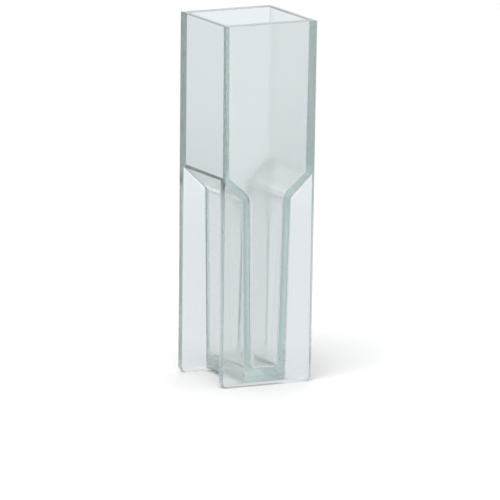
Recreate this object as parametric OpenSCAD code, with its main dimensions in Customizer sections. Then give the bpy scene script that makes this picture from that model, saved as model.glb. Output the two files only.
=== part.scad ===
// Semi-micro cuvette: a clear square cell, moulded in one piece and open at the top.
// Light crosses it along Y, through two flat window walls. A wide chamber narrows through
// two sloping shoulders to a slim channel. Outside, the plain sides are recessed under the
// shoulders, so the lower part is H-shaped in section and stands on its two window walls.
//
// Frame: +Z up, origin in the middle of the base, X across the cell, Y along the light.

/* [Outer block] */
// Height from the feet to the rim
body_h = 45; // [38:0.5:60]
// Width of the block at the rim, the same both ways
rim_w = 12.5; // [12.2:0.05:14]
// Width of the block at the feet, less than at the rim by the mould's draft
foot_w = 12.2; // [12:0.05:12.5]
// Rounding of the four upright edges
upright_edge_r = 0.15; // [0.15:0.05:0.6]
// Rounding of the edges round the rim and round the feet
rim_edge_r = 0.1; // [0.05:0.01:0.12]
// Rounding of the lower corners of the window walls, seen along the light
foot_corner_r = 0.8; // [0.3:0.1:2]

/* [Chamber] */
// Gap between the inner faces of the two window walls
light_path = 10; // [8:0.1:10.4]
// Thickness of the plain side walls at the rim
side_rim_t = 0.75; // [0.6:0.05:1.4]
// Thickness of the plain side walls where they reach the shoulders
side_shoulder_t = 0.9; // [0.6:0.05:1.4]
// Radius of the chamber's upright corners, which are all but sharp
chamber_corner_r = 0.05; // [0.02:0.01:0.5]

/* [Channel] */
// Width of the channel at the top, under the shoulders
channel_top_w = 4.8; // [4:0.1:6]
// Width of the channel at its floor
channel_floor_w = 3.85; // [3:0.05:4.8]
// Radius of the channel's upright corners, wider than the chamber's
channel_corner_r = 0.5; // [0.1:0.05:0.8]
// Height of the channel's floor above the feet
floor_h = 2; // [1.2:0.1:12]
// Fillet round the edge of the floor
floor_fillet_r = 0.4; // [0.2:0.05:1]
// Thickness of the channel's side webs at the top
web_top_t = 0.75; // [0.5:0.05:1.2]
// Thickness of the channel's side webs at the feet
web_foot_t = 0.75; // [0.5:0.05:1.2]

/* [Shoulders and recesses] */
// Height of the side recesses at the outer face
recess_h = 25.8; // [18:0.1:32]
// Slope of the shoulders above the horizontal
shoulder_angle = 43; // [25:1:55]
// Thickness of the sloping shoulders
shoulder_t = 0.8; // [0.6:0.05:1.4]
// Fillet in the angle under each shoulder
under_shoulder_r = 0.5; // [0.2:0.1:1.5]
// Rounding over the edge where a shoulder turns down into the channel
channel_mouth_r = 2.5; // [0.2:0.1:3.5]
// Fillet in the angle between the chamber's side wall and its shoulder
shoulder_root_r = 0.15; // [0.1:0.05:1]
// Fillet in the recess's corners, between the web or shoulder and the window walls
recess_corner_r = 0.3; // [0.15:0.05:0.8]

/* [Underside] */
// Height of the channel block's underside above the feet
underside_h = 0.4; // [0.3:0.05:0.9]
// Diameter of the moulding gate's mark in the middle of the underside
gate_d = 1.6; // [1:0.1:2.4]
// How far the gate's mark stands down from the underside
gate_h = 0.2; // [0.1:0.05:0.25]

/* [Hidden] */

// Steps in each rounded corner
arc_steps = 6;
// How far a cutting shape runs past the face that it opens
overcut = 1;

// Half width of the block at height z
function side_x(z) = (foot_w + (rim_w - foot_w) * z / body_h) / 2;
// Height of a shoulder's sloping face at half width x, where it starts up the side at height z
function slope_z(x, z) = z - (side_x(recess_h) - x) * tan(shoulder_angle);

path_y = light_path / 2;
// Where the shoulder's upper face would meet the outside of the block
slope_top_h = recess_h + shoulder_t / cos(shoulder_angle);
channel_x = channel_top_w / 2;
web_x = channel_x + web_top_t;
web_foot_x = channel_floor_w / 2 + web_foot_t;
chamber_x = side_x(slope_top_h) - side_shoulder_t;
mouth_x = rim_w / 2 - side_rim_t;

// ---- Outlines and lofts ----

// Direction of v, one unit long
function unit(v) = v / norm(v);

// Points round centre c at radius r, from angle a turning by sweep
function arc(c, r, a, sweep) =
    [for (i = [0:arc_steps]) let (t = a + sweep * i / arc_steps) c + r * [cos(t), sin(t)]];

// Arc that rounds the corner b of the path a-b-c to radius r, or to what its sides allow
function corner_arc(a, b, c, r) =
    let (
        u = unit(a - b),
        v = unit(c - b),
        half = acos(u * v) / 2,
        reach = min(r / tan(half), 0.45 * norm(a - b), 0.45 * norm(c - b)),
        rr = reach * tan(half),
        centre = b + unit(u + v) * rr / sin(half),
        from = b + u * reach - centre,
        turn = cross(b - a, c - b) > 0 ? 1 : -1
    )
    arc(centre, rr, atan2(from.y, from.x), turn * (180 - 2 * half));

// Open path with its inner corners rounded to the radii listed for them
function rounded_path(pts, radii) = concat(
    [pts[0]],
    [for (i = [1:len(pts) - 2]) each corner_arc(pts[i - 1], pts[i], pts[i + 1], radii[i - 1])],
    [pts[len(pts) - 1]]
);

// How far an edge rounded to r stands back at distance d from its end face
function edge_inset(d, r) = d < r ? r - sqrt(r * r - (r - d) * (r - d)) : 0;

// Distances from the end face at which an edge rounded to r takes its rings
function edge_steps(r) = [for (i = [0:arc_steps]) r * (1 - cos(90 * i / arc_steps))];

// Ring at height z: a rectangle of half sizes hx and hy with corners of radius r
function rounded_ring(hx, hy, r, z) = [
    for (q = [0:3], p = arc(
        [(q == 0 || q == 3 ? 1 : -1) * (hx - r), (q < 2 ? 1 : -1) * (hy - r)], r, 90 * q, 90
    )) [p.x, p.y, z]
];

// Solid through a stack of rings, each running anticlockwise, from the lowest up
module loft(rings) {
    n = len(rings[0]);
    top = (len(rings) - 1) * n;
    sides = [
        for (k = [0:len(rings) - 2], i = [0:n - 1])
            let (a = k * n + i, b = k * n + (i + 1) % n) [a, a + n, b + n, b]
    ];
    polyhedron(
        points = [for (ring = rings) each ring],
        faces = concat([[for (i = [0:n - 1]) i]], sides, [[for (i = [n - 1:-1:0]) top + i]])
    );
}

// ---- The block ----

// Block's outline at height z, drafted, with rounded rim, feet and lower corners
function block_ring(z) =
    let (
        inset = edge_inset(min(z, body_h - z), rim_edge_r),
        corner_inset = max(inset, edge_inset(z, foot_corner_r))
    )
    rounded_ring(side_x(z) - corner_inset, side_x(z) - inset, upright_edge_r - inset, z);

block_levels = concat(
    edge_steps(rim_edge_r),
    [for (z = edge_steps(foot_corner_r)) if (z > rim_edge_r) z],
    [for (i = [arc_steps:-1:0]) body_h - edge_steps(rim_edge_r)[i]]
);

module outer_block() {
    loft([for (z = block_levels) block_ring(z)]);
}

// ---- The cavity ----

// Half width against height, up one side of the channel, over the shoulder and up the chamber
cavity_path = rounded_path(
    [
        [channel_floor_w / 2, floor_h],
        [channel_x, slope_z(channel_x, slope_top_h)],
        [chamber_x, slope_z(chamber_x, slope_top_h)],
        [mouth_x, body_h]
    ],
    [channel_mouth_r, shoulder_root_r]
);

// Ends of the straight slope between the two roundings
slope_foot = cavity_path[arc_steps + 1];
slope_head = cavity_path[arc_steps + 2];

// Radius of the upright corners at half width x, which shrinks up the slope
function cavity_corner_r(x) =
    lookup(x, [[slope_foot.x, channel_corner_r], [slope_head.x, chamber_corner_r]]);

// Cavity's outline at height z, with its floor fillet and its rounded rim
function cavity_ring(z) =
    let (
        half_w = lookup(z, [for (p = cavity_path) [p.y, p.x]]),
        inset = edge_inset(z - floor_h, floor_fillet_r) - edge_inset(body_h - z, rim_edge_r)
    )
    rounded_ring(half_w - inset, path_y - inset, cavity_corner_r(half_w), z);

rim_base_h = body_h - rim_edge_r;
cavity_levels = concat(
    [for (d = edge_steps(floor_fillet_r)) floor_h + d],
    [for (p = cavity_path) if (p.y > floor_h + floor_fillet_r && p.y < rim_base_h) p.y],
    [for (i = [arc_steps:-1:0]) body_h - edge_steps(rim_edge_r)[i]]
);

module cavity() {
    rings = [for (z = cavity_levels) cavity_ring(z)];
    past_rim = [for (p = rings[len(rings) - 1]) p + [0, 0, overcut]];
    loft(concat(rings, [past_rim]));
}

// ---- The side recesses ----

// Half width against height, up the web, round the fillet and out along the shoulder
recess_path = rounded_path(
    [
        [web_foot_x, 0],
        [web_x, slope_z(web_x, recess_h)],
        [side_x(recess_h) + overcut, slope_z(side_x(recess_h) + overcut, recess_h)]
    ],
    [under_shoulder_r]
);

// Recess's outline at height z, from the web or shoulder at half width x out past the block
function recess_ring(x, z) =
    let (
        outside = side_x(recess_h) + 2 * overcut,
        back = concat(
            arc([x + recess_corner_r, path_y - recess_corner_r], recess_corner_r, 90, 90),
            arc([x + recess_corner_r, recess_corner_r - path_y], recess_corner_r, 180, 90)
        )
    )
    [for (p = concat(back, [[outside, -path_y], [outside, path_y]])) [p.x, p.y, z]];

module side_recess() {
    below = recess_ring(recess_path[0].x, -overcut);
    loft(concat([below], [for (p = recess_path) recess_ring(p.x, p.y)]));
}

// ---- The underside ----

// Space under the channel block, between the two window walls
module underside_gap() {
    half_l = web_foot_x + 2 * recess_corner_r;
    translate([-half_l, -path_y, -overcut])
        cube([2 * half_l, 2 * path_y, overcut + underside_h]);
}

// Round mark left where the plastic enters the mould
module gate_mark() {
    sunk = (floor_h - underside_h) / 2;
    translate([0, 0, underside_h - gate_h])
        cylinder(h = gate_h + sunk, d = gate_d, $fn = 48);
}

module cuvette() {
    color([0.84, 0.89, 0.88, 0.45]) {
        difference() {
            outer_block();
            cavity();
            side_recess();
            mirror([1, 0, 0]) side_recess();
            underside_gap();
        }
        gate_mark();
    }
}

cuvette();
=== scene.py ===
"""Looks of a clear semi-micro cuvette: one moulded cell of polished, faintly tinted plastic.

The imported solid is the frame. The cell is built again here as one closed skin with finely rounded
edges, so that light bends through it cleanly, and stands on a pale floor in soft studio light.
Sizes are in millimetres, and become metres only as points are put into a mesh.
"""

import logging
import math
from dataclasses import dataclass
from enum import Enum
from typing import Sequence

import bmesh
import bpy
import numpy as np
from mathutils import Matrix, Vector


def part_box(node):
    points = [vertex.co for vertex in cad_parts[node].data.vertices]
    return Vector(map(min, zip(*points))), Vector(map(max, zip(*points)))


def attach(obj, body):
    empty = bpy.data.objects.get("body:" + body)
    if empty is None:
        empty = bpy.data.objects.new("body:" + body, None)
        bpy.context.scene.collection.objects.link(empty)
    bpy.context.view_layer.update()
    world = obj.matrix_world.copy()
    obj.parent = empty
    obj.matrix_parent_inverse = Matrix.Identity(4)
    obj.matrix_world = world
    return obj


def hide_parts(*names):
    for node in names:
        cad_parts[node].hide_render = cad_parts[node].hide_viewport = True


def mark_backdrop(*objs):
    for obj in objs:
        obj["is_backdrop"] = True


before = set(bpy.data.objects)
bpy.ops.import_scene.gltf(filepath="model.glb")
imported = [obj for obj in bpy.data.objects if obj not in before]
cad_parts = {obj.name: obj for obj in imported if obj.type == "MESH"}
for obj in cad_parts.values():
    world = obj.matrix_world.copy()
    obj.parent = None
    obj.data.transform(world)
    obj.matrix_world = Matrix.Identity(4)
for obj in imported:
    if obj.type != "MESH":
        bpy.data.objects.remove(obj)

LOG = logging.getLogger("cuvette")
NODE = "cuvette"
ROOT = "root"
MM = 0.001
HEIGHT_DIGITS = 6
ROUNDING_SHARE = 0.45
WHITE = (1.0, 1.0, 1.0, 1.0)

# Places of the colour sockets on a mix node.
COLOUR_A, COLOUR_B, COLOUR_OUT = 6, 7, 2

Colour = tuple[float, float, float, float]
Source = bpy.types.NodeSocket | float | Sequence[float]


class Foot(Enum):
    """The two window walls that reach the bench, as their side along the light path."""

    FRONT = -1.0
    BACK = 1.0


# ---------------------------------------------------------------------------------------------
# Profiles and outlines
# ---------------------------------------------------------------------------------------------


def edge_inset(distance: np.ndarray, radius: float) -> np.ndarray:
    """How far a rounded edge stands back at a distance from its end face.

    The edge is a quarter circle: r - sqrt(r^2 - (r - d)^2) up to one radius away, nothing beyond.

    Args:
        distance: Distances from the end face.
        radius: Radius of the rounded edge.

    Returns:
        The setback at each distance.
    """
    near = np.clip(radius - np.asarray(distance, float), 0.0, radius)
    return radius - np.sqrt(radius**2 - near**2)


def edge_steps(radius: float, steps: int) -> np.ndarray:
    """Distances from the end face at which a rounded edge takes its rings.

    Args:
        radius: Radius of the rounded edge.
        steps: Number of steps round the quarter circle.

    Returns:
        r * (1 - cos a) for even angles a from 0 to 90 degrees.
    """
    return radius * (1.0 - np.cos(np.linspace(0.0, math.pi / 2.0, steps + 1)))


def ring_heights(*parts: Sequence[float]) -> np.ndarray:
    """Heights of all the rings of a surface, from the lowest up, each of them once."""
    return np.unique(np.round(np.concatenate(parts), HEIGHT_DIGITS))


def rounded_path(points: Sequence[Sequence[float]], radii: Sequence[float], steps: int) -> np.ndarray:
    """Open path whose inner corners are rounded by arcs.

    Each arc is tangent to both sides of its corner. Its centre lies on the bisector, and its
    points swing evenly from one tangent point to the other: (sin((1-t)s) p + sin(ts) q) / sin s.

    Args:
        points: The path's corners, (half width, height) each.
        radii: Radius for each inner corner.
        steps: Steps round each arc.

    Returns:
        Points of the rounded path, one row each.
    """
    path = np.asarray(points, float)
    radius = np.asarray(radii, float)[:, None]
    before, corner, after = path[:-2], path[1:-1], path[2:]
    back = (before - corner) / np.linalg.norm(before - corner, axis=1, keepdims=True)
    ahead = (after - corner) / np.linalg.norm(after - corner, axis=1, keepdims=True)
    half = 0.5 * np.arccos(np.sum(back * ahead, axis=1, keepdims=True))
    middle = (back + ahead) / np.linalg.norm(back + ahead, axis=1, keepdims=True)
    centre = corner + middle * radius / np.sin(half)
    start = corner + back * radius / np.tan(half) - centre
    stop = corner + ahead * radius / np.tan(half) - centre
    swing = (math.pi - 2.0 * half)[:, :, None]
    share = np.linspace(0.0, 1.0, steps + 1)[None, :, None]
    arcs = (np.sin((1.0 - share) * swing) * start[:, None] + np.sin(share * swing) * stop[:, None])
    arcs = arcs / np.sin(swing) + centre[:, None]
    return np.vstack([path[:1], arcs.reshape(-1, 2), path[-1:]])


def corner_arcs(
    centre_x: np.ndarray, centre_y: np.ndarray, radius: np.ndarray, start: float, stop: float, steps: int
) -> np.ndarray:
    """One corner of an outline at many heights at once.

    Args:
        centre_x: Arc centre's X at each height.
        centre_y: Arc centre's Y at each height.
        radius: Arc radius at each height.
        start: First angle, in degrees.
        stop: Last angle, in degrees.
        steps: Steps round the arc.

    Returns:
        Points (height, step, xy): centre + radius * (cos a, sin a).
    """
    angle = np.radians(np.linspace(start, stop, steps + 1))[None, :]
    x = centre_x[:, None] + radius[:, None] * np.cos(angle)
    y = centre_y[:, None] + radius[:, None] * np.sin(angle)
    return np.stack([x, y], axis=-1)


def four_quarters(quarter: np.ndarray) -> np.ndarray:
    """Closed outline from its quarter on the +X +Y side, mirrored to the other three.

    The quarter runs from its +Y side to its +X side. Every second copy is reversed, so that the
    whole outline runs anticlockwise, seen from above, from the front of the +X side.

    Args:
        quarter: Points (height, point, xy).

    Returns:
        Points (height, 4 * point, xy).
    """
    right_front = quarter * (1.0, -1.0)
    left_back = quarter * (-1.0, 1.0)
    left_front = (quarter * (-1.0, -1.0))[:, ::-1]
    return np.concatenate([right_front, quarter[:, ::-1], left_back, left_front], axis=1)


def at_heights(outline: np.ndarray, heights: np.ndarray) -> np.ndarray:
    """Adds each ring's height to its points.

    Args:
        outline: Points (height, point, xy).
        heights: Height of each ring.

    Returns:
        Points (height, point, xyz).
    """
    z = np.broadcast_to(heights[:, None, None], outline.shape[:2] + (1,))
    return np.concatenate([outline, z], axis=-1)


# ---------------------------------------------------------------------------------------------
# Mesh making
# ---------------------------------------------------------------------------------------------


class Skin:
    """Collects the grids and flat faces of one closed surface, and makes its mesh."""

    def __init__(self) -> None:
        """Starts with no points and no faces."""
        self._points: list[np.ndarray] = []
        self._faces: list[list[int]] = []
        self._count = 0

    def add_points(self, grid: np.ndarray) -> np.ndarray:
        """Adds a grid's points.

        Args:
            grid: Points (ring, point, xyz) in millimetres.

        Returns:
            The points' numbers, (ring, point).
        """
        numbers = self._count + np.arange(grid.shape[0] * grid.shape[1]).reshape(grid.shape[:2])
        self._points.append(grid.reshape(-1, 3))
        self._count += numbers.size
        return numbers

    def add_tube(self, grid: np.ndarray) -> np.ndarray:
        """Adds a stack of rings joined by four-sided faces.

        Args:
            grid: Points (ring, point, xyz) in millimetres.

        Returns:
            The points' numbers, (ring, point).
        """
        numbers = self.add_points(grid)
        following = np.roll(numbers, -1, axis=1)
        quads = np.stack([numbers[:-1], following[:-1], following[1:], numbers[1:]], axis=-1)
        self._faces += quads.reshape(-1, 4).tolist()
        return numbers

    def add_flat(self, loop: np.ndarray) -> None:
        """Closes one loop of point numbers with a flat face."""
        self._faces.append(loop.tolist())

    def add_collar(self, outer: np.ndarray, inner: np.ndarray) -> None:
        """Fills the flat between two loops of four quarters each, cut at the middle of each quarter.

        Args:
            outer: Point numbers of the outer loop.
            inner: Point numbers of the inner loop, which starts in the same corner.
        """
        outer_cuts = self._quarter_middles(outer)
        inner_cuts = self._quarter_middles(inner)
        for here in range(4):
            there = (here + 1) % 4
            out_run = self._run(outer, outer_cuts[here], outer_cuts[there])
            in_run = self._run(inner, inner_cuts[here], inner_cuts[there])
            self._faces.append(out_run + in_run[::-1])

    @staticmethod
    def _quarter_middles(loop: np.ndarray) -> list[int]:
        """Places of the four quarters' corner points, each two steps from its quarter's outer end.

        Args:
            loop: Point numbers of a closed loop of four quarters.

        Returns:
            The four places in the loop, in its own order.
        """
        quarter = len(loop) // 4
        inset = 2
        return [inset, 2 * quarter - 1 - inset, 2 * quarter + inset, 4 * quarter - 1 - inset]

    @staticmethod
    def _run(loop: np.ndarray, start: int, stop: int) -> list[int]:
        """Point numbers of a closed loop from one place to another, both counted."""
        length = (stop - start) % len(loop)
        return loop[(start + np.arange(length + 1)) % len(loop)].tolist()

    def mesh(self, name: str) -> bpy.types.Mesh:
        """Makes the mesh, with doubled points merged and every face turned outwards.

        Args:
            name: The mesh's name.

        Returns:
            The mesh, in metres, shaded smooth.
        """
        merge_gap = 1e-5 * MM
        data = bpy.data.meshes.new(name)
        data.from_pydata((np.vstack(self._points) * MM).tolist(), [], self._faces)
        edit = bmesh.new()
        edit.from_mesh(data)
        bmesh.ops.remove_doubles(edit, verts=edit.verts, dist=merge_gap)
        bmesh.ops.dissolve_degenerate(edit, dist=merge_gap, edges=edit.edges)
        bmesh.ops.recalc_face_normals(edit, faces=edit.faces)
        edit.to_mesh(data)
        edit.free()
        data.polygons.foreach_set("use_smooth", np.ones(len(data.polygons), bool))
        return data


# ---------------------------------------------------------------------------------------------
# The cell
# ---------------------------------------------------------------------------------------------


@dataclass(frozen=True)
class CellSizes:
    """Sizes of the cell in millimetres."""

    body_h: float = 45.0
    rim_w: float = 12.5
    foot_w: float = 12.2
    upright_edge_r: float = 0.15
    rim_edge_r: float = 0.1
    flange_edge_r: float = 0.08
    foot_corner_r: float = 0.8
    light_path: float = 10.0
    side_rim_t: float = 0.75
    side_shoulder_t: float = 0.9
    chamber_corner_r: float = 0.05
    channel_corner_r: float = 0.5
    channel_top_w: float = 4.8
    channel_floor_w: float = 3.85
    floor_h: float = 2.0
    floor_fillet_r: float = 0.4
    web_top_t: float = 0.75
    web_foot_t: float = 0.75
    recess_h: float = 25.8
    recess_edge_r: float = 0.08
    shoulder_angle: float = 43.0
    shoulder_t: float = 0.8
    under_shoulder_r: float = 0.5
    channel_mouth_r: float = 2.5
    shoulder_root_r: float = 0.15
    recess_corner_r: float = 0.3
    underside_h: float = 0.4
    gate_d: float = 1.6
    gate_h: float = 0.2
    gate_edge_r: float = 0.08
    arc_steps: int = 5

    @classmethod
    def from_frame(cls, node: str) -> "CellSizes":
        """Takes the height and the rim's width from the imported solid.

        Args:
            node: Name of the solid.

        Returns:
            The cell's sizes.
        """
        low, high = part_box(node)
        return cls(body_h=round((high.z - low.z) / MM, 3), rim_w=round((high.x - low.x) / MM, 2))


class Cell:
    """The whole cell as one closed skin: block, recesses, underside, rim and cavity."""

    def __init__(self, sizes: CellSizes) -> None:
        """Works out the profiles that the rings follow.

        Args:
            sizes: The cell's sizes.
        """
        self.sizes = sizes
        self.path_y = sizes.light_path / 2.0
        self._recess = self._recess_profile()
        self._cavity = self._cavity_profile()

    def _side_x(self, z: np.ndarray) -> np.ndarray:
        """Half width of the drafted block: straight from the foot's to the rim's."""
        s = self.sizes
        return (s.foot_w + (s.rim_w - s.foot_w) * np.asarray(z, float) / s.body_h) / 2.0

    def _slope_z(self, x: float, outer_z: float) -> float:
        """Height at half width x of a shoulder face that reaches the block's side at outer_z."""
        s = self.sizes
        return outer_z - (float(self._side_x(s.recess_h)) - x) * math.tan(math.radians(s.shoulder_angle))

    def _recess_profile(self) -> np.ndarray:
        """Profile (half width, height) up the web, out under the shoulder and up the plain side.

        Returns:
            Points of the rounded profile.
        """
        s = self.sizes
        web_foot_x = s.channel_floor_w / 2.0 + s.web_foot_t
        web_x = s.channel_top_w / 2.0 + s.web_top_t
        corners = [
            (web_foot_x, 0.0),
            (web_x, self._slope_z(web_x, s.recess_h)),
            (float(self._side_x(s.recess_h)), s.recess_h),
            (float(self._side_x(s.body_h)), s.body_h),
        ]
        return rounded_path(corners, [s.under_shoulder_r, s.recess_edge_r], s.arc_steps)

    def _cavity_profile(self) -> np.ndarray:
        """Profile (half width, height) up the channel, over the shoulder and up the chamber.

        Returns:
            Points of the rounded profile.
        """
        s = self.sizes
        slope_top = s.recess_h + s.shoulder_t / math.cos(math.radians(s.shoulder_angle))
        channel_x = s.channel_top_w / 2.0
        chamber_x = float(self._side_x(slope_top)) - s.side_shoulder_t
        corners = [
            (s.channel_floor_w / 2.0, s.floor_h),
            (channel_x, self._slope_z(channel_x, slope_top)),
            (chamber_x, self._slope_z(chamber_x, slope_top)),
            (s.rim_w / 2.0 - s.side_rim_t, s.body_h),
        ]
        return rounded_path(corners, [s.channel_mouth_r, s.shoulder_root_r], s.arc_steps)

    def _window_quarter(self, z: np.ndarray) -> tuple[np.ndarray, np.ndarray, np.ndarray]:
        """Rounded corners of one window wall's end, in the +X +Y quarter.

        Args:
            z: Heights of the rings.

        Returns:
            The outer corner's points, the inner corner's points, and the wall end's X.
        """
        s = self.sizes
        inset = edge_inset(np.minimum(z, s.body_h - z), s.rim_edge_r)
        side = self._side_x(z)
        end_x = side - np.maximum(inset, edge_inset(z, s.foot_corner_r))
        face_y = side - inset
        inner_y = self.path_y + np.where(z < s.foot_corner_r, inset, 0.0)
        depth = np.clip(end_x - self._web_x(z), 0.0, None)
        outer_r = s.upright_edge_r - inset
        inner_r = np.minimum(s.flange_edge_r, ROUNDING_SHARE * depth)
        outer = corner_arcs(end_x - outer_r, face_y - outer_r, outer_r, 90.0, 0.0, s.arc_steps)
        inner = corner_arcs(end_x - inner_r, inner_y + inner_r, inner_r, 0.0, -90.0, s.arc_steps)
        return outer, inner, end_x

    def _web_x(self, z: np.ndarray) -> np.ndarray:
        """Half width over the webs, the shoulders and, above them, the plain sides."""
        return np.interp(z, self._recess[:, 1], self._recess[:, 0])

    def _web_root(self, z: np.ndarray, end_x: np.ndarray) -> np.ndarray:
        """Fillet between a web or shoulder and a window wall, in the +X +Y quarter.

        Args:
            z: Heights of the rings.
            end_x: The wall end's X at each height.

        Returns:
            The fillet's points.
        """
        s = self.sizes
        web_x = np.minimum(self._web_x(z), end_x)
        radius = np.minimum(s.recess_corner_r, ROUNDING_SHARE * (end_x - web_x))
        centre_y = np.full_like(z, self.path_y) - radius
        return corner_arcs(web_x + radius, centre_y, radius, 90.0, 180.0, s.arc_steps)

    def _foot_steps(self) -> np.ndarray:
        """Heights of the rings round a foot's lower corners, twice as fine as on an edge."""
        return edge_steps(self.sizes.foot_corner_r, 2 * self.sizes.arc_steps)

    def _block_rings(self) -> np.ndarray:
        """Outside of the block from the underside to the rim.

        Each ring is a square whose two plain sides step in to the web's half width between the
        window walls; above the recesses the step has no depth.

        Returns:
            Points (ring, point, xyz).
        """
        s = self.sizes
        rim = s.body_h - edge_steps(s.rim_edge_r, s.arc_steps)
        z = ring_heights([s.underside_h], self._foot_steps(), self._recess[:, 1], rim)
        z = z[z >= s.underside_h]
        outer, inner, end_x = self._window_quarter(z)
        quarter = np.concatenate([outer, inner, self._web_root(z, end_x)], axis=1)
        return at_heights(four_quarters(quarter), z)

    def _foot_rings(self, foot: Foot) -> np.ndarray:
        """Outside of one window wall's foot, below the underside of the channel block.

        Args:
            foot: Which of the two feet.

        Returns:
            Points (ring, point, xyz), from the bench up.
        """
        s = self.sizes
        edge = edge_steps(s.rim_edge_r, s.arc_steps)
        z = ring_heights([s.underside_h], self._foot_steps(), edge)
        z = z[z <= s.underside_h]
        outer, inner, end_x = self._window_quarter(z)
        inner_y = inner[:, -1:, 1]
        root_x = np.broadcast_to(self._web_root(z[-1:], end_x[-1:])[:, :1, 0], inner_y.shape)
        root = np.stack([root_x, inner_y], axis=-1)
        half = np.concatenate([outer, inner, root], axis=1)
        loop = np.concatenate([half, (half * (-1.0, 1.0))[:, ::-1]], axis=1)
        return at_heights(loop * (1.0, foot.value), z)

    def _cavity_rings(self) -> np.ndarray:
        """Inside of the cell from the channel's floor to the rim.

        Each ring is a rectangle as wide as the profile at its height and as long as the light
        path, drawn in round the floor and out at the rim. Its corners' radius goes with the half
        width, from the channel's radius at the slope's foot to the chamber's at its head.

        Returns:
            Points (ring, point, xyz).
        """
        s = self.sizes
        floor = s.floor_h + edge_steps(s.floor_fillet_r, s.arc_steps)
        profile = self._cavity[:, 1]
        rim = s.body_h - edge_steps(s.rim_edge_r, s.arc_steps)
        z = ring_heights(floor, profile, rim)
        inset = edge_inset(z - s.floor_h, s.floor_fillet_r) - edge_inset(s.body_h - z, s.rim_edge_r)
        half_x = np.interp(z, profile, self._cavity[:, 0]) - inset
        half_y = self.path_y - inset
        slope_foot, slope_head = self._cavity[s.arc_steps + 1], self._cavity[-2 - s.arc_steps]
        slope_x = (slope_foot[0], slope_head[0])
        radius = np.interp(half_x, slope_x, (s.channel_corner_r, s.chamber_corner_r))
        quarter = corner_arcs(half_x - radius, half_y - radius, radius, 90.0, 0.0, s.arc_steps)
        return at_heights(four_quarters(quarter), z)

    def _gate_rings(self) -> np.ndarray:
        """Round mark of the moulding gate: a low disc with a rounded lower edge.

        Returns:
            Points (ring, point, xyz), from the lower edge up to the underside.
        """
        s = self.sizes
        above_edge = np.append(edge_steps(s.gate_edge_r, s.arc_steps), s.gate_h)
        z = s.underside_h - s.gate_h + above_edge
        radius = s.gate_d / 2.0 - edge_inset(above_edge, s.gate_edge_r)
        centre = np.zeros_like(z)
        quarter = corner_arcs(centre, centre, radius, 90.0, 0.0, s.arc_steps)
        return at_heights(four_quarters(quarter), z)

    def build(self, name: str) -> bpy.types.Object:
        """Joins all the surfaces into one closed mesh object.

        Args:
            name: The piece's name.

        Returns:
            The object, at the origin.
        """
        quarters, arcs, arc_points = 4, 3, self.sizes.arc_steps + 1
        skin = Skin()
        block = skin.add_tube(self._block_rings())
        for foot in Foot:
            rings = skin.add_tube(self._foot_rings(foot))
            skin.add_flat(rings[0])
        gate = skin.add_tube(self._gate_rings())
        skin.add_flat(gate[0])
        roots = block[0].reshape(quarters, arcs, arc_points)
        underside = np.concatenate([roots[0, 2], roots[1, 0], roots[2, 2], roots[3, 0]])
        skin.add_collar(underside, gate[-1])
        cavity = skin.add_tube(self._cavity_rings())
        skin.add_flat(cavity[0])
        skin.add_collar(block[-1], cavity[-1])
        piece = bpy.data.objects.new(name, skin.mesh(name))
        bpy.context.scene.collection.objects.link(piece)
        shading = piece.modifiers.new("flat_face_shading", "WEIGHTED_NORMAL")
        shading.weight = 100
        shading.keep_sharp = True
        return piece


# ---------------------------------------------------------------------------------------------
# Node making
# ---------------------------------------------------------------------------------------------


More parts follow.
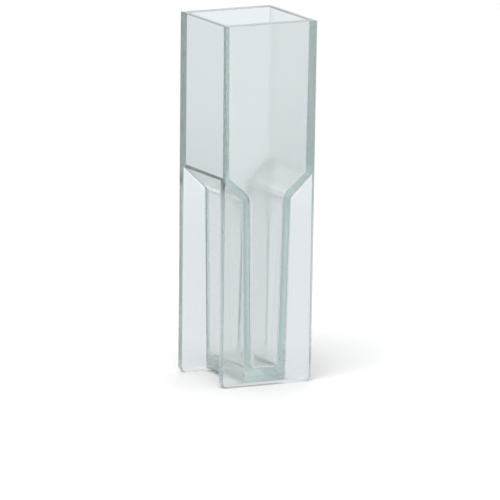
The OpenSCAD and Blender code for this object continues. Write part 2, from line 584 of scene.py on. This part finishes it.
class NodeMaker:
    """Adds the nodes that the finishes and the light are made of to one node tree."""

    def __init__(self, tree: bpy.types.NodeTree) -> None:
        """Takes over the tree of a material or a world."""
        self.tree = tree

    def add(self, kind: str, **settings: str) -> bpy.types.Node:
        """Adds a node.

        Args:
            kind: The node's type.
            settings: Values for the node's own settings.

        Returns:
            The node.
        """
        node = self.tree.nodes.new(kind)
        for name, value in settings.items():
            setattr(node, name, value)
        return node

    def feed(self, socket: bpy.types.NodeSocket, source: Source) -> None:
        """Links an output into a socket, or sets the socket to a plain value.

        Args:
            socket: The socket to feed.
            source: Another node's output, or the value.
        """
        if isinstance(source, bpy.types.NodeSocket):
            self.tree.links.new(source, socket)
        else:
            socket.default_value = source

    def math(self, operation: str, first: Source, second: Source) -> bpy.types.NodeSocket:
        """Adds a calculation on two numbers.

        Args:
            operation: Which calculation.
            first: First number.
            second: Second number.

        Returns:
            Socket with the result.
        """
        node = self.add("ShaderNodeMath", operation=operation)
        self.feed(node.inputs[0], first)
        self.feed(node.inputs[1], second)
        return node.outputs["Value"]

    def vector(
        self, operation: str, output: str, first: Source, second: Source | None = None
    ) -> bpy.types.NodeSocket:
        """Adds a calculation on one or two vectors.

        Args:
            operation: Which calculation.
            output: Which output holds the result, Vector or Value.
            first: First vector.
            second: Second vector, or None where only one is needed.

        Returns:
            Socket with the result.
        """
        node = self.add("ShaderNodeVectorMath", operation=operation)
        self.feed(node.inputs[0], first)
        if second is not None:
            self.feed(node.inputs[1], second)
        return node.outputs[output]

    def share(self, value: Source, start: float, stop: float, smooth: bool) -> bpy.types.NodeSocket:
        """Adds a share that runs from 0 to 1 as a value goes from one limit to another.

        Args:
            value: Socket with the value.
            start: The value at share 0.
            stop: The value at share 1.
            smooth: True where the share eases in and out, false where it runs evenly.

        Returns:
            Socket with the share.
        """
        node = self.add("ShaderNodeMapRange", interpolation_type="SMOOTHSTEP" if smooth else "LINEAR")
        node.inputs["From Min"].default_value = start
        node.inputs["From Max"].default_value = stop
        self.feed(node.inputs["Value"], value)
        return node.outputs["Result"]

    def ramp(
        self, share: Source, stops: Sequence[tuple[float, Colour]], interpolation: str
    ) -> bpy.types.NodeSocket:
        """Adds a colour ramp.

        Args:
            share: Socket with the share that picks the colour.
            stops: Place and colour of each stop, from the lowest place up.
            interpolation: How the colours run between the stops.

        Returns:
            Socket with the colour.
        """
        node = self.add("ShaderNodeValToRGB")
        node.color_ramp.interpolation = interpolation
        elements = node.color_ramp.elements
        ready = len(elements)
        for number, (place, colour) in enumerate(stops):
            element = elements[number] if number < ready else elements.new(1.0)
            element.position = place
            element.color = colour
        self.feed(node.inputs["Fac"], share)
        return node.outputs["Color"]

    def blend(self, share: Source, low: Source, high: Source) -> bpy.types.NodeSocket:
        """Adds a blend of two colours.

        Args:
            share: Share of the second colour.
            low: Colour at share 0.
            high: Colour at share 1.

        Returns:
            Socket with the colour.
        """
        node = self.add("ShaderNodeMix", data_type="RGBA")
        self.feed(node.inputs["Factor"], share)
        self.feed(node.inputs[COLOUR_A], low)
        self.feed(node.inputs[COLOUR_B], high)
        return node.outputs[COLOUR_OUT]

    def mix_shaders(self, share: Source, low: Source, high: Source) -> bpy.types.NodeSocket:
        """Adds a mix of two shaders.

        Args:
            share: Share of the second shader.
            low: Shader at share 0.
            high: Shader at share 1.

        Returns:
            Socket with the shader.
        """
        node = self.add("ShaderNodeMixShader")
        self.feed(node.inputs["Fac"], share)
        self.feed(node.inputs[1], low)
        self.feed(node.inputs[2], high)
        return node.outputs["Shader"]

    def light(self, kind: str, colour: Source) -> bpy.types.NodeSocket:
        """Adds a shader that gives light of one colour.

        Args:
            kind: The node's type, an emission or a world's background.
            colour: The light's colour.

        Returns:
            Socket with the shader.
        """
        node = self.add(kind)
        self.feed(node.inputs["Color"], colour)
        return node.outputs[0]


# ---------------------------------------------------------------------------------------------
# Finishes
# ---------------------------------------------------------------------------------------------


def new_finish(name: str) -> tuple[bpy.types.Material, NodeMaker]:
    """Starts a node material.

    Args:
        name: The material's name.

    Returns:
        The material, and a maker on its tree, where the shader and the output are in place.
    """
    material = bpy.data.materials.new(name)
    material.use_nodes = True
    return material, NodeMaker(material.node_tree)


def grey(level: float) -> Colour:
    """Grey of one level, from black at 0 to white at 1."""
    return (level, level, level, 1.0)


@dataclass(frozen=True)
class ClearPlastic:
    """Clear polystyrene: what a thickness of it lets through, and its polish from foot to rim.

    It is dull at the base, polished where the light crosses and softer again above.
    """

    passed_light: tuple[float, float, float] = (0.9, 0.935, 0.929)
    passed_over: float = 2.75
    height: float = 45.0
    ior: float = 1.59
    clear: float = 0.98
    roughness: tuple[tuple[float, float], ...] = (
        (0.4, 0.3),
        (3.0, 0.15),
        (5.0, 0.04),
        (17.0, 0.04),
        (26.0, 0.2),
        (38.0, 0.15),
    )

    def absorption(self) -> tuple[float, Colour]:
        """Turns the light passed over a thickness into a density and a colour.

        Each colour loses sigma = -ln(passed) / thickness. The density is just over the largest
        sigma, and the colour is 1 - sigma / density.

        Returns:
            The density for each metre, and the colour.
        """
        just_over = 1.05
        sigma = -np.log(np.array(self.passed_light)) / (self.passed_over * MM)
        density = just_over * float(sigma.max())
        return density, tuple(1.0 - sigma / density) + (1.0,)

    def build(self, name: str) -> bpy.types.Material:
        """Builds the finish.

        Args:
            name: The material's name.

        Returns:
            The material.
        """
        material, maker = new_finish(name)
        nodes = maker.tree.nodes
        shader = nodes["Principled BSDF"]
        shader.inputs["Base Color"].default_value = WHITE
        shader.inputs["Transmission Weight"].default_value = self.clear
        shader.inputs["IOR"].default_value = self.ior
        where = maker.add("ShaderNodeSeparateXYZ")
        maker.feed(where.inputs["Vector"], maker.add("ShaderNodeTexCoord").outputs["Object"])
        level = maker.math("DIVIDE", where.outputs["Z"], self.height * MM)
        stops = [(height / self.height, grey(value)) for height, value in self.roughness]
        maker.feed(shader.inputs["Roughness"], maker.ramp(level, stops, "EASE"))
        density, colour = self.absorption()
        body = maker.add("ShaderNodeVolumeAbsorption")
        body.inputs["Density"].default_value = density
        body.inputs["Color"].default_value = colour
        maker.feed(nodes["Material Output"].inputs["Volume"], body.outputs["Volume"])
        return material


@dataclass(frozen=True)
class Surround:
    """Soft, faintly cool light round the cell, as levels on the way from the front to the back.

    It is full behind the cell, dimmest in front, and dimmer again just before the back than
    on the flanks. The way runs from 0 in front to 1 at the back, and between the places where a
    level holds the light runs evenly from one level to the next.
    """

    facing: float = 26.7
    front: float = 0.27
    flank: float = 0.79
    side: float = 0.47
    back: float = 1.0
    front_to: float = 0.24
    flank_from: float = 0.36
    flank_to: float = 0.68
    side_at: float = 0.78
    back_from: float = 0.92
    tint: tuple[float, float, float] = (0.96, 1.0, 1.035)

    def light(self, level: float) -> Colour:
        """The surround's colour at a level: the level times each part of the tint."""
        return tuple(level * part for part in self.tint) + (1.0,)

    def add_to(self, maker: NodeMaker, direction: bpy.types.NodeSocket) -> bpy.types.NodeSocket:
        """Adds the nodes that give the light for a direction seen from the cell.

        The direction is laid flat and made one long; its share along the line from the front to
        the back, from -1 to 1, picks the level.

        Args:
            maker: Maker on the node tree to add to.
            direction: Socket with the direction.

        Returns:
            Socket with the light's colour.
        """
        turn = math.radians(self.facing)
        flat = maker.vector("MULTIPLY", "Vector", direction, (1.0, 1.0, 0.0))
        unit = maker.vector("NORMALIZE", "Vector", flat)
        along = maker.vector("DOT_PRODUCT", "Value", unit, (math.sin(turn), math.cos(turn), 0.0))
        stops = (
            (0.0, self.light(self.front)),
            (self.front_to, self.light(self.front)),
            (self.flank_from, self.light(self.flank)),
            (self.flank_to, self.light(self.flank)),
            (self.side_at, self.light(self.side)),
            (self.back_from, self.light(self.back)),
            (1.0, self.light(self.back)),
        )
        return maker.ramp(maker.share(along, -1.0, 1.0, smooth=False), stops, "LINEAR")


@dataclass(frozen=True)
class PaleFloor:
    """Matt pale floor that runs out into white paper far behind the cell.

    Rays that come through or off the cell don't see the lit floor but painted light: the floor glows
    with one dimmer level under the cell as painted shade, with nearly even painted levels close by, and
    further off with the surround's levels.
    """

    colour: float = 0.88
    roughness: float = 0.6
    # Painted shade: the floor's glow level right under the cell, dimmer than the surround behind it.
    under: float = 0.82
    # Painted light: the floor's glow levels next to the cell, for rays through or off it.
    near: Surround = Surround(front=0.57, flank=0.8, side=0.66, back=0.855)
    near_reach: tuple[float, float] = (6.0, 25.0)
    far_reach: tuple[float, float] = (90.0, 170.0)
    paper_reach: tuple[float, float] = (200.0, 900.0)

    def build(self, name: str, surround: Surround) -> bpy.types.Material:
        """Builds the finish.

        Args:
            name: The material's name.
            surround: The light round the cell.

        Returns:
            The material.
        """
        material, maker = new_finish(name)
        nodes = maker.tree.nodes
        shader = nodes["Principled BSDF"]
        shader.inputs["Base Color"].default_value = grey(self.colour)
        shader.inputs["Roughness"].default_value = self.roughness
        where = maker.add("ShaderNodeTexCoord").outputs["Object"]
        away = maker.vector("LENGTH", "Value", where)
        is_near, is_far, is_paper = (
            maker.share(away, start * MM, stop * MM, smooth=True)
            for start, stop in (self.near_reach, self.far_reach, self.paper_reach)
        )
        # Painted shade under the cell runs out into the painted levels next to it, then into the surround's
        # levels.
        close = maker.blend(is_near, surround.light(self.under), self.near.add_to(maker, where))
        seen = maker.blend(is_far, close, surround.add_to(maker, where))
        ray = maker.add("ShaderNodeLightPath").outputs
        from_cell = maker.math("MAXIMUM", ray["Is Transmission Ray"], ray["Is Glossy Ray"])
        # Rays through or off the cell see the floor's painted glow instead of its lit surface; the camera
        # sees it lit.
        floor = maker.mix_shaders(from_cell, shader.outputs["BSDF"], maker.light("ShaderNodeEmission", seen))
        to_paper = maker.math("MULTIPLY", is_paper, ray["Is Camera Ray"])
        whole = maker.mix_shaders(to_paper, floor, maker.light("ShaderNodeEmission", WHITE))
        maker.feed(nodes["Material Output"].inputs["Surface"], whole)
        return material


# ---------------------------------------------------------------------------------------------
# Studio and camera
# ---------------------------------------------------------------------------------------------


@dataclass(frozen=True)
class Studio:
    """Pale floor that glows with painted levels of light, a sky with its own levels under a plain top, and a
    lamp.
    """

    floor_half: float = 1500.0
    floor: PaleFloor = PaleFloor()
    surround: Surround = Surround()
    sky: Surround = Surround(front=0.6, flank=0.9, side=0.9, back=1.4)
    top: float = 0.85
    top_from: float = 0.18
    top_to: float = 0.42
    lamp_size: float = 500.0
    lamp_power: float = 5.0
    lamp_place: tuple[float, float, float] = (-300.0, -300.0, 900.0)

    def build_floor(self) -> bpy.types.Object:
        """Builds the floor that the cell stands on.

        Returns:
            The floor, marked as stage.
        """
        h = self.floor_half * MM
        data = bpy.data.meshes.new("floor")
        data.from_pydata([(-h, -h, 0.0), (h, -h, 0.0), (h, h, 0.0), (-h, h, 0.0)], [], [(0, 1, 2, 3)])
        data.materials.append(self.floor.build("pale_floor", self.surround))
        floor = bpy.data.objects.new("floor", data)
        bpy.context.scene.collection.objects.link(floor)
        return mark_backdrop(floor)

    def build_world(self) -> bpy.types.World:
        """Builds the sky's light, which blends into the plain top. The camera itself sees white paper.

        Returns:
            The world.
        """
        world = bpy.data.worlds.new("soft_studio")
        world.use_nodes = True
        world.node_tree.nodes.clear()
        maker = NodeMaker(world.node_tree)
        direction = maker.add("ShaderNodeTexCoord").outputs["Generated"]
        split = maker.add("ShaderNodeSeparateXYZ")
        maker.feed(split.inputs["Vector"], direction)
        is_top = maker.share(split.outputs["Z"], self.top_from, self.top_to, smooth=True)
        colour = maker.blend(is_top, self.sky.add_to(maker, direction), grey(self.top))
        sky = maker.light("ShaderNodeBackground", colour)
        paper = maker.light("ShaderNodeBackground", WHITE)
        seen_directly = maker.add("ShaderNodeLightPath").outputs["Is Camera Ray"]
        out = maker.add("ShaderNodeOutputWorld")
        maker.feed(out.inputs["Surface"], maker.mix_shaders(seen_directly, sky, paper))
        bpy.context.scene.world = world
        return world

    def build_lamp(self) -> bpy.types.Object:
        """Builds the soft lamp above and to the left of the camera.

        Returns:
            The lamp, turned towards the cell.
        """
        data = bpy.data.lights.new("soft_lamp", "AREA")
        data.size = self.lamp_size * MM
        data.energy = self.lamp_power
        lamp = bpy.data.objects.new("soft_lamp", data)
        lamp.location = Vector(self.lamp_place) * MM
        lamp.rotation_euler = (-lamp.location).to_track_quat("-Z", "Y").to_euler()
        bpy.context.scene.collection.objects.link(lamp)
        return lamp


@dataclass(frozen=True)
class ViewCamera:
    """Camera in front of the cell, a little above it and round to its left corner.

    It stands on the line through the aim point, and is turned a little off that line, so that the
    aim point comes to its own place in the frame without a shifted lens.
    """

    azimuth: float = -27.313
    elevation: float = 10.647
    roll: float = 0.737
    distance: float = 1400.0
    aim_h: float = 22.5
    focal_px: float = 11395.3
    aim_px: tuple[float, float] = (246.589, 196.501)
    frame_px: float = 500.0
    sensor: float = 36.0
    nearest: float = 10.0

    def build(self) -> bpy.types.Object:
        """Builds the camera and makes it the scene's own.

        Returns:
            The camera.
        """
        turn, lift, roll = (math.radians(a) for a in (self.azimuth, self.elevation, self.roll))
        back = Vector((math.sin(turn) * math.cos(lift), -math.cos(turn) * math.cos(lift), math.sin(lift)))
        level = Vector((math.cos(turn), math.sin(turn), 0.0))
        upright = back.cross(level)
        right = level * math.cos(roll) + upright * math.sin(roll)
        up = upright * math.cos(roll) - level * math.sin(roll)
        place = Vector((0.0, 0.0, self.aim_h * MM)) + back * self.distance * MM
        aside = (self.aim_px[0] - self.frame_px / 2.0) / self.focal_px
        above = (self.frame_px / 2.0 - self.aim_px[1]) / self.focal_px
        back = (back + right * aside + up * above).normalized()
        right = (right - back * right.dot(back)).normalized()
        up = back.cross(right)
        data = bpy.data.cameras.new("view_camera")
        data.sensor_width = self.sensor
        data.lens = self.focal_px * self.sensor / self.frame_px
        data.clip_start = self.nearest * MM
        camera = bpy.data.objects.new("view_camera", data)
        pose = Matrix((right, up, back)).transposed().to_4x4()
        pose.translation = place
        camera.matrix_world = pose
        bpy.context.scene.collection.objects.link(camera)
        bpy.context.scene.camera = camera
        return camera


def let_light_through() -> None:
    """Lets light bounce often enough to run the length of a wall inside the plastic."""
    inside, reflected = 32, 8
    cycles = bpy.context.scene.cycles
    cycles.max_bounces = inside
    cycles.transmission_bounces = inside
    cycles.glossy_bounces = reflected


def main(
    sizes: CellSizes | None = None,
    plastic: ClearPlastic = ClearPlastic(),
    studio: Studio = Studio(),
    view: ViewCamera = ViewCamera(),
) -> None:
    """Builds the cell, the studio and the camera, and reports the cell's points and faces.

    Args:
        sizes: The cell's sizes, or None to take them from the frame.
        plastic: The cell's finish.
        studio: The floor and the light.
        view: The camera.
    """
    logging.basicConfig(level=logging.INFO, format="%(name)s: %(message)s")
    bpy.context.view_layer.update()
    view.build()
    studio.build_floor()
    studio.build_world()
    studio.build_lamp()
    cell = Cell(sizes or CellSizes.from_frame(NODE)).build("clear_cell")
    cell.data.materials.append(plastic.build("clear_polystyrene"))
    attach(cell, ROOT)
    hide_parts(NODE)
    LOG.info("%s: %d points, %d faces", cell.name, len(cell.data.vertices), len(cell.data.polygons))
    bpy.context.scene.view_settings.view_transform = "Standard"
    let_light_through()


if __name__ == "__main__":
    main()
